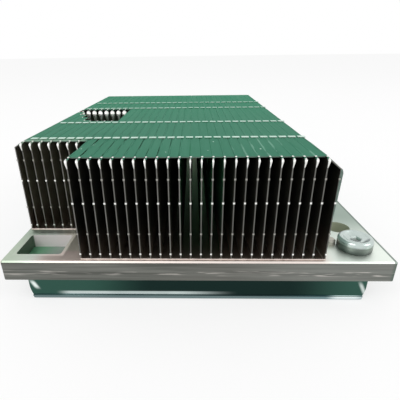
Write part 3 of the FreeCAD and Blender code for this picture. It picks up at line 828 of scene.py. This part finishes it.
def add_bead(build, left, right, y, outward):
    """A quarter round bead on the base along the ends of the feet."""
    steps = int((right - left) / BEAD_STEP)
    loops = []
    for i in range(steps + 1):
        x = left + (right - left) * i / steps
        size = bead_size(x, y)
        ring = []
        for k in range(BEAD_ARC + 1):
            angle = math.pi / 2 * k / BEAD_ARC
            reach = y + outward * size * math.cos(angle)
            ring.append(build.verts.new((x, reach, BASE_TOP + size * 0.8 * math.sin(angle))))
        ring.append(build.verts.new((x, y, BASE_TOP)))
        loops.append(ring)
    bridge(build, loops)
    cap(build, loops)


print("a bead at the front middle, in mm:", round(bead_size(0.0, FRONT_MAIN) / MM, 2))

# %% Build the solder beads
beads = bmesh.new()
RIGHT_WALL = wall_middle(FINS[-1]) + SHEET / 2
LEFT_WALL = wall_middle("fin_01") - SHEET / 2
add_bead(beads, MAIN_LEFT, RIGHT_WALL, FRONT_MAIN, -1)
add_bead(beads, LEFT_WALL, MAIN_LEFT - 0.3 * MM, FRONT_NOTCH, -1)
add_bead(beads, LEFT_WALL, RIGHT_WALL, FIN_BACK, 1)
piece("solder_beads", beads, SOLDER)

# %% [markdown]
# ## Captive screws
#
# The solid model has each screw as plain cylinders. Seen close, a screw has a rounded rim, a
# shallow dish with a hexagon socket in it, and a rolled thread. A lathe profile does most of
# it: every point of the profile becomes a ring. The socket rings are six sided, and in the
# thread the radius follows the turn of the helix.

# %% Profile of a screw
RIM_RADIUS = 0.8 * MM
DISH_RADIUS = 2.7 * MM
DISH_DEPTH = 0.6 * MM
SOCKET_RADIUS = 1.1 * MM
SOCKET_DEPTH = 1.1 * MM
THREAD_RADIUS = 1.75 * MM
GROOVE_RADIUS = 1.4 * MM
THREAD_PITCH = 0.6 * MM
SEGMENTS = 72


def hexagon(angle, radius):
    """Distance from the axis to a hexagon's side, in one direction."""
    turn = angle % (math.pi / 3) - math.pi / 6
    return radius * math.cos(math.pi / 6) / math.cos(turn)


def lathe_ring(build, place, z, radius_at):
    """One ring of vertices round a vertical axis."""
    ring = []
    for i in range(SEGMENTS):
        angle = 2 * math.pi * i / SEGMENTS
        radius = radius_at(angle)
        ring.append(build.verts.new((
            place[0] + radius * math.cos(angle),
            place[1] + radius * math.sin(angle),
            z,
        )))
    return ring


def rim_profile():
    """The head from under its edge, up the side, over the rounded rim and into the dish."""
    side = [(HEAD_RADIUS - 0.15 * MM, BASE_TOP), (HEAD_RADIUS, BASE_TOP + 0.15 * MM)]
    rim_x, rim_z = HEAD_RADIUS - RIM_RADIUS, SCREW_TOP - RIM_RADIUS
    side.append((HEAD_RADIUS, rim_z))
    for k in range(1, 9):
        angle = math.pi / 2 * k / 8
        side.append((rim_x + RIM_RADIUS * math.cos(angle), rim_z + RIM_RADIUS * math.sin(angle)))
    for k in range(1, 8):
        share = k / 7
        radius = DISH_RADIUS - share * 1.3 * MM
        side.append((radius, SCREW_TOP - DISH_DEPTH * math.sin(math.pi / 2 * share)))
    return side


def thread_radius(z):
    """Radius of a rolled thread at one height, as a function of the angle."""
    def at(angle):
        turn = (z / THREAD_PITCH - angle / (2 * math.pi)) % 1
        return THREAD_RADIUS - 0.3 * MM * abs(2 * turn - 1)
    return at


print("points from the edge of a head into its dish:", len(rim_profile()))

# %% [markdown]
# ## The whole screw
#
# The rings run on from the middle of the socket, up and out over the rim, down the side,
# under the head and along the neck to the tip. The groove in the neck holds a spring ring,
# which keeps the screw in the base when the heatsink is lifted off.

# %% Build the three screws
GROOVE_LOW, GROOVE_HIGH = (corner.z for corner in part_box("retaining_rings"))
NECK = [
    (THREAD_RADIUS, BASE_TOP), (THREAD_RADIUS, GROOVE_HIGH),
    (GROOVE_RADIUS, GROOVE_HIGH), (GROOVE_RADIUS, GROOVE_LOW),
]
TIP_RADIUS = 0.9 * MM
SCREW_TIP = SCREW_LOW.z


def add_screw(build, place):
    """Socket, head, neck, ring groove and thread of one screw."""
    floor = SCREW_TOP - SOCKET_DEPTH
    loops = [lathe_ring(build, place, floor, lambda a: 0.1 * MM)]
    for z in (floor, SCREW_TOP - 0.5 * MM):
        loops.append(lathe_ring(build, place, z, lambda a: hexagon(a, SOCKET_RADIUS)))
    for radius, z in [*reversed(rim_profile()), *NECK]:
        loops.append(lathe_ring(build, place, z, lambda a, r=radius: r))
    steps = int((GROOVE_LOW - SCREW_TIP) / (THREAD_PITCH / 10))
    for k in range(steps + 1):
        z = GROOVE_LOW + (SCREW_TIP - GROOVE_LOW) * k / steps
        loops.append(lathe_ring(build, place, z, thread_radius(z)))
    loops.append(lathe_ring(build, place, SCREW_TIP, lambda a: TIP_RADIUS))
    bridge(build, loops)
    cap(build, loops)


screws = bmesh.new()
for place in SCREWS:
    add_screw(screws, place)
screw_set = piece("screw_set", screws, SCREW_NICKEL)
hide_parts("captive_screws")

# %% [markdown]
# ## Floor and light
#
# A product like this is shown on a white table under soft light. The table is one large
# disc, so it has no corner that could show. It keeps a faint shadow: its finish is mixed with
# plain white only for the camera and for mirror reflections, which leaves the light on the
# object alone. The world gives even light, and two broad lamps shape the metal.

# %% Floor
TABLE_RADIUS = 6.0


def table_finish():
    """Matt white, part of which is lit by itself where it is looked at."""
    f = Finish("white_table")
    grain = f.grain(40, 40, 40)
    named = {
        "Base Color": f.mix(grain, tint(250, 250, 250), tint(253, 253, 253)),
        "Roughness": 0.9,
        "Specular IOR Level": 0.0,
    }
    plain = f.node("ShaderNodeBsdfPrincipled", None, named)
    glow = f.node("ShaderNodeEmission", None, {"Color": (1.0, 1.0, 1.0), "Strength": 1.0})
    rays = f.node("ShaderNodeLightPath")
    seen = rays.out("Is Camera Ray").most(rays.out("Is Glossy Ray"))
    mixed = f.node("ShaderNodeMixShader", None, {0: 0.68 * seen, 1: plain, 2: glow})
    f.node("ShaderNodeOutputMaterial", None, {"Surface": mixed})
    return f.material


mesh = bpy.data.meshes.new("table")
build = bmesh.new()
bmesh.ops.create_circle(build, cap_ends=True, segments=96, radius=TABLE_RADIUS)
build.to_mesh(mesh)
build.free()
table = bpy.data.objects.new("table", mesh)
table.location.z = CAD_LOW.z
bpy.context.scene.collection.objects.link(table)
table.data.materials.append(table_finish())
print("table radius in m:", TABLE_RADIUS)

# %% World and lamps
world = bpy.data.worlds.new("studio")
bpy.context.scene.world = world
world.use_nodes = True
sky = Nodes(world.node_tree)
rays = sky.node("ShaderNodeLightPath")
seen = rays.out("Is Camera Ray").most(rays.out("Is Glossy Ray"))
seen = seen.most(rays.out("Is Transmission Ray"))
soft = sky.node("ShaderNodeBackground", None, {"Color": (1.0, 1.0, 1.0), "Strength": 0.85})
white = sky.node("ShaderNodeBackground", None, {"Color": (1.0, 1.0, 1.0), "Strength": 1.0})
mixed = sky.node("ShaderNodeMixShader", None, {0: seen, 1: soft, 2: white})
sky.node("ShaderNodeOutputWorld", None, {"Surface": mixed})


LAMP_AIM = Vector((0, 0, 0.02))


def lamp(name, place, size, watts):
    """A square soft box that points at the fins."""
    data = bpy.data.lights.new(name, "AREA")
    data.size = size
    data.energy = watts
    light = bpy.data.objects.new(name, data)
    light.location = place
    light.rotation_euler = (LAMP_AIM - Vector(place)).to_track_quat("-Z", "Y").to_euler()
    bpy.context.scene.collection.objects.link(light)
    print(name, "watts:", watts)


lamp("key_box", place=(-0.35, -0.45, 0.6), size=0.35, watts=1.2)
lamp("fill_box", place=(0.5, -0.2, 0.4), size=0.3, watts=0.6)

# %% [markdown]
# ## Camera
#
# The camera stands close in front, less than 2 cm above the top of the fins, and looks down
# by 24 degrees. Such a close view makes the fins fan out towards their front edges. The axes
# are worked out from the three angles, so that pitch, turn and lean can be read as they are.

# %% Camera
EYE_PLACE = Vector((-0.55, -112.04, 47.04)) * MM
PITCH, TURN, LEAN = (math.radians(angle) for angle in (24.31, -1.80, -0.82))
level_ahead = Vector((math.sin(TURN), math.cos(TURN), 0))
ahead = level_ahead * math.cos(PITCH) - Vector((0, 0, math.sin(PITCH)))
right = Vector((math.cos(TURN), -math.sin(TURN), 0))
above = right.cross(ahead)
right, above = (
    right * math.cos(LEAN) + above * math.sin(LEAN),
    above * math.cos(LEAN) - right * math.sin(LEAN),
)
eye = bpy.data.cameras.new("front_view")
eye.sensor_width = 36.0
eye.lens = 31.29
eye.shift_x = 0.0425
eye.shift_y = 0.025
eye.clip_start = 1 * MM
eye.clip_end = 20.0
camera = bpy.data.objects.new("front_view", eye)
turn = Matrix((right, above, -ahead)).transposed().to_4x4()
camera.matrix_world = Matrix.Translation(EYE_PLACE) @ turn
bpy.context.scene.collection.objects.link(camera)
bpy.context.scene.camera = camera
bpy.context.scene.view_settings.view_transform = "Standard"
print("camera height over the table in mm:", round(EYE_PLACE.z / MM, 1))
